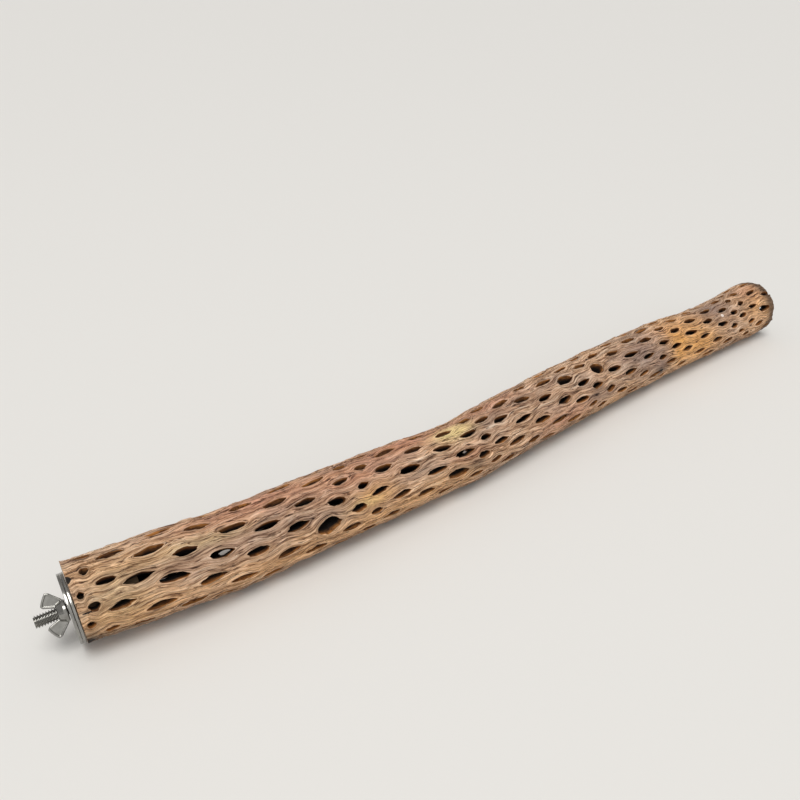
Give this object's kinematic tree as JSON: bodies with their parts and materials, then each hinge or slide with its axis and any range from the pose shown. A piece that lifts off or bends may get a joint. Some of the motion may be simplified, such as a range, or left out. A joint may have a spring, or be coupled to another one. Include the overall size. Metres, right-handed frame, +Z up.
{
  "type": "cholla cactus skeleton perch",
  "caption": "Hollow netted length of cactus wood that lies on a surface, with a threaded stud, clamp washers and wing nut at one end.",
  "frame": {"origin": "centre of the bounding box's base, on the surface that the wood lies on", "axes": "+X along the wood from the bolted end, which is tipped 3 degrees, +Y away from the side that the picture shows, +Z up"},
  "size_m": [0.5998, 0.1081, 0.0436],
  "materials": {
    "cholla_wood": "dry weathered cactus wood with grey and ochre streaks, matte",
    "plug_wood": "plain sawn dowel, matte",
    "plated_steel": "bright plated, polished"
  },
  "bodies": {
    "perch": {"cholla_wood": "cholla_wood", "end_plug": "plug_wood", "hanger_bolt": "plated_steel", "inner_washer": "plated_steel"},
    "loose_washer": {"outer_washer": "plated_steel"},
    "nut": {"wing_nut": "plated_steel"}
  },
  "joints": [
    {"name": "washer_slide", "type": "slide", "parent": "perch", "child": "loose_washer", "axis": [-0.9986, 0, -0.0523], "range_m": [0, 0.01]},
    {"name": "nut_turn", "type": "hinge", "parent": "loose_washer", "child": "nut", "pos_m": [-0.28509, -0.0343, 0.02175], "axis": [-0.9986, 0, -0.0523], "range_deg": [0, 2834.65]}
  ],
  "couplings": [
    {"joint": "nut_turn", "follows": "washer_slide", "rad_per_m": 4947.4}
  ]
}
